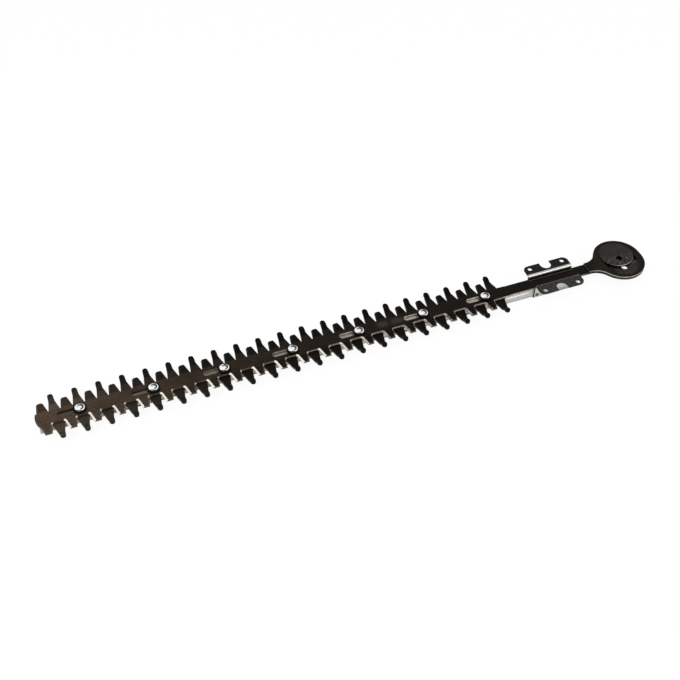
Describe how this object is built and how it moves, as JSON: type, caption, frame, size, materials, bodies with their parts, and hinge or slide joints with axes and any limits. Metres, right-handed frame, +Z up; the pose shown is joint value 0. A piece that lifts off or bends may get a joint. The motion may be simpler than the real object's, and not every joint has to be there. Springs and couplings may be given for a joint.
{
  "type": "hedge trimmer blade",
  "caption": "Double-edged hedge trimmer blade: a toothed cutter with a round yoke head slides on a fixed finger bar, stiffened by a channel rail with a mounting saddle.",
  "frame": {"origin": "centre of the four ear holes, on the top (seating) faces of the saddle's ears", "axes": "+X from the blade's tip to its drive head, +Y across the blade to the picture's far side, +Z up, towards the cutter's side"},
  "size_m": [0.739, 0.0652, 0.02],
  "materials": {
    "blackened_steel": "burnished dark brown-black, oiled, ground bright on the tooth flanks",
    "sintered_steel": "matt dark grey",
    "zinc_plated_steel": "bright zinc",
    "bright_steel": "bright plated",
    "black_washer": "black oxide"
  },
  "bodies": {
    "base": {"finger_bar": "blackened_steel", "support_rail": "zinc_plated_steel", "mounting_saddle": "zinc_plated_steel", "guide_bolts": "bright_steel", "guide_washers": "black_washer", "guide_nuts": "zinc_plated_steel", "saddle_rivets": "zinc_plated_steel"},
    "cutter": {"cutter_blade": "blackened_steel", "yoke_plate": "blackened_steel"},
    "eccentric": {"eccentric_disc": "sintered_steel"}
  },
  "joints": [
    {"name": "cutter_slide", "type": "slide", "parent": "base", "child": "cutter", "axis": [1, 0, 0], "range_m": [0, 0.015]},
    {"name": "eccentric_turn", "type": "hinge", "parent": "cutter", "child": "eccentric", "pos_m": [0.0907, 0.0075, 0], "axis": [0, 0, 1], "continuous": true}
  ]
}
